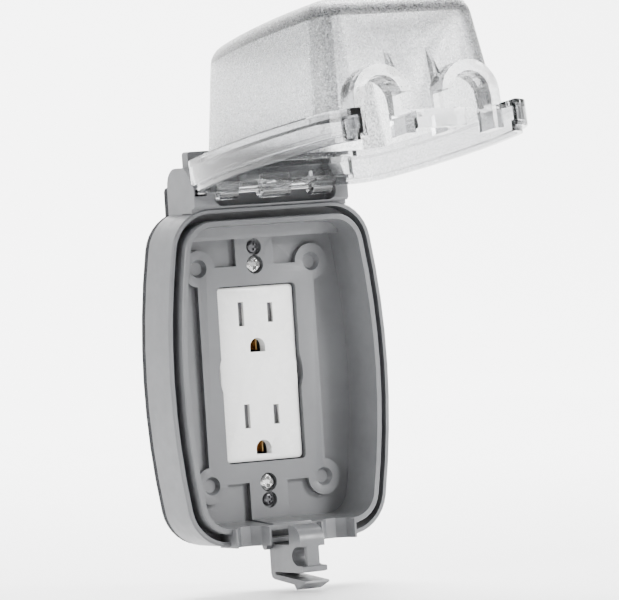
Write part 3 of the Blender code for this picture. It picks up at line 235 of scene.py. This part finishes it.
# The rest of the cover: its polished flange, arches and strike, and painted shade on its rounded edges and
# upright corners, whose darker colours stand in for the dark refraction at those edges.
polished = clear_plastic(
    "look_clear_polished", (0.34, 0.345, 0.355), (0.56, 0.565, 0.57), low=0.02, high=0.07, grain_strength=0.05
)
# Painted shade: a near-black colour on the cover's rounded edges, standing in for the dark refraction there.
edge_painted_shade = clear_plastic(
    "look_clear_edge_painted_shade", (0.008, 0.008, 0.009), (0.24, 0.242, 0.246), low=0.2, high=0.4, grain_strength=0.9
)
# Painted shade: a darker grey on the cover's upright corners, standing in for the dark refraction there.
corner_painted_shade = clear_plastic(
    "look_clear_corner_painted_shade", (0.10, 0.101, 0.104), (0.5, 0.505, 0.51), low=0.2, high=0.4, grain_strength=0.7
)

slots = {part["node"]: part["material_slot"] for part in frame["record"]["subparts"]}


# ---------------------------------------------------------------- pieces

# Flat plates with holes keep their triangles and sharp edges: merged and softened, they shade with dark slivers.
UNMERGED = ("receptacle_face", "mounting_strap")
EDGE_WIDTH = 0.25 * MM
FASTENER_EDGE_WIDTH = 0.12 * MM
SHARP_ANGLE = math.radians(35.0)
FLAT_ANGLE = math.radians(0.5)
SAME_POINT = 1e-6

# The cover's places in its list of materials, after its own clear plastic: polished, then the painted shade of
# its edges and of its corners
POLISHED, EDGE, CORNER = 1, 2, 3
# Distances out and down from the hinge pin, with the cover closed
FLANGE_OUT = 10.3 * MM
ARCHES_DOWN = 117.0 * MM
DOME_EDGE_OUT = 38.0 * MM
# Limits on the parts of a face's normal, with the cover closed
EDGE_LEAST_OUTWARD = 0.2
EDGE_MOST_OUTWARD = 0.985
CORNER_MOST_OUTWARD = 0.3
CORNER_LEAST_ACROSS = 0.3


def cover_zones(mesh):
    """Gives the cover's faces their materials: polished flange and arches, grainy dome, and painted shade on the
    rounded edges and upright corners.
    """
    for cover_material in (polished, edge_painted_shade, corner_painted_shade):
        mesh.materials.append(cover_material)
    joint = next(j for j in frame["record"]["behaviour"]["joints"] if j["name"] == "cover_hinge")
    pin = Vector(joint["pos_m"])
    closing = Matrix.Rotation(math.radians(-joint["range_deg"][0]), 3, "X")
    world = nodes["clear_cover"].matrix_world
    for face in mesh.polygons:
        place = closing @ (world @ face.center - pin)
        normal = closing @ (world.to_3x3() @ face.normal)
        down, out = -place.z, -place.y
        side, along, outward = abs(normal.x), abs(normal.z), abs(normal.y)
        # The rounded edges and upright corners get painted shade, darker colours in place of refraction.
        if out < FLANGE_OUT or down > ARCHES_DOWN:
            face.material_index = POLISHED
        elif out > DOME_EDGE_OUT and EDGE_LEAST_OUTWARD < outward < EDGE_MOST_OUTWARD:
            face.material_index = EDGE
        elif outward < CORNER_MOST_OUTWARD and min(side, along) > CORNER_LEAST_ACROSS:
            face.material_index = CORNER


def edge_width(name):
    """How wide a piece's softened edges are."""
    if name in UNMERGED or "spring" in name:
        return 0.0
    return FASTENER_EDGE_WIDTH if "screw" in name or "rivet" in name else EDGE_WIDTH


def dressed(name):
    """A copy of a CAD node with its edges softened and its curves shaded smooth."""
    node = nodes[name]
    mesh = node.data.copy()
    shape = bmesh.new()
    shape.from_mesh(mesh)
    bmesh.ops.remove_doubles(shape, verts=shape.verts[:], dist=SAME_POINT)
    if name not in UNMERGED:
        bmesh.ops.dissolve_limit(
            shape, angle_limit=FLAT_ANGLE, verts=shape.verts[:], edges=shape.edges[:]
        )
    shape.to_mesh(mesh)
    shape.free()
    mesh.materials.clear()
    mesh.materials.append(looks[slots[name]])
    piece = bpy.data.objects.new(name + "_look", mesh)
    bpy.context.scene.collection.objects.link(piece)
    mesh.shade_smooth()
    mesh.set_sharp_from_angle(angle=SHARP_ANGLE)
    width = edge_width(name)
    if width:
        soften = piece.modifiers.new("soften", "BEVEL")
        soften.width = width
        soften.segments = 2
        soften.limit_method = "ANGLE"
        soften.angle_limit = SHARP_ANGLE
        soften.use_clamp_overlap = True
        soften.harden_normals = True
    if name == "clear_cover":
        cover_zones(mesh)
    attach(piece, node["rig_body"])
    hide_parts(name)
    return piece


pieces = {name: dressed(name) for name in nodes}

# Each shutter's spring gets its own copy of its mesh.
for joint in frame["record"]["behaviour"]["joints"]:
    for pressed in joint.get("deforming_nodes", []):
        spring = pieces[pressed["node"]]
        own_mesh(spring)


# ---------------------------------------------------------------- floor, light and camera

FLOOR_Z = cad_box[0][2] - 1 * MM
FLOOR_HALF_WIDTH = 4.0
FLOOR_FRONT_Y = -3.0
BACKDROP_Y = 2.6
BACKDROP_RADIUS = 1.0
BACKDROP_HEIGHT = 4.0


def floor():
    """A pale floor that curves up into a backdrop."""
    shape = bmesh.new()
    curve_start = BACKDROP_Y - BACKDROP_RADIUS
    rows = [(FLOOR_FRONT_Y, 0.0), (curve_start, 0.0)]
    for angle in range(10, 91, 10):
        turn = math.radians(angle)
        rows.append(
            (curve_start + BACKDROP_RADIUS * math.sin(turn), BACKDROP_RADIUS * (1.0 - math.cos(turn)))
        )
    rows.append((BACKDROP_Y, BACKDROP_HEIGHT))
    points = [
        [shape.verts.new((x, y, FLOOR_Z + z)) for x in (-FLOOR_HALF_WIDTH, FLOOR_HALF_WIDTH)] for y, z in rows
    ]
    for near, far in zip(points, points[1:]):
        shape.faces.new((near[0], near[1], far[1], far[0]))
    mesh = bpy.data.meshes.new("floor")
    shape.to_mesh(mesh)
    shape.free()
    mesh.shade_smooth()
    made = bpy.data.objects.new("floor", mesh)
    bpy.context.scene.collection.objects.link(made)
    t = Tree("look_floor")
    t.set(Specular_IOR_Level=0.3)
    t.drive("Base Color", t.ramp(t.noise(3.0), (0.3, (0.86, 0.86, 0.86)), (0.7, (0.88, 0.88, 0.88))))
    t.drive("Roughness", t.span(t.noise(8.0), 0.45, 0.55))
    mesh.materials.append(t.material)


floor()


def area_light(name, location, target, size, power):
    """A round soft light that faces the target."""
    data = bpy.data.lights.new(name, "AREA")
    data.shape = "DISK"
    data.size = size
    data.energy = power
    made = bpy.data.objects.new(name, data)
    made.location = location
    made.rotation_euler = (Vector(target) - Vector(location)).to_track_quat("-Z", "Y").to_euler()
    bpy.context.scene.collection.objects.link(made)


area_light("key", (1.0, -1.5, 0.8), target=(0, -0.02, 0.02), size=0.7, power=56)
area_light("fill", (-1.6, -0.4, 0.5), target=(0, -0.02, 0.0), size=0.9, power=25)
area_light("rim", (0.9, 0.5, 0.7), target=(0, -0.02, 0.05), size=0.6, power=10)
area_light("backdrop", (1.0, 1.3, 2.4), target=(1.2, 1.9, 0), size=2.4, power=420)

world = bpy.data.worlds.new("studio")
world.use_nodes = True
background = world.node_tree.nodes["Background"]
background.inputs["Color"].default_value = (1, 1, 1, 1)
background.inputs["Strength"].default_value = 0.6
bpy.context.scene.world = world

# The camera's place and lens were fitted to the photo.
camera_data = bpy.data.cameras.new("camera")
camera_data.sensor_width = 36.0
camera_data.lens = 336.0
camera_data.clip_end = 20
camera = bpy.data.objects.new("camera", camera_data)
right = Vector((0.871183, -0.486834, -0.063440))
up = Vector((0.065281, -0.013203, 0.997775))
forward = Vector((0.48659, 0.87339, -0.020279))
eye = Vector((-1.0566, -1.9456, 0.0715))
camera.matrix_world = Matrix(
    (
        (right.x, up.x, -forward.x, eye.x),
        (right.y, up.y, -forward.y, eye.y),
        (right.z, up.z, -forward.z, eye.z),
        (0, 0, 0, 1),
    )
)
bpy.context.scene.collection.objects.link(camera)
bpy.context.scene.camera = camera
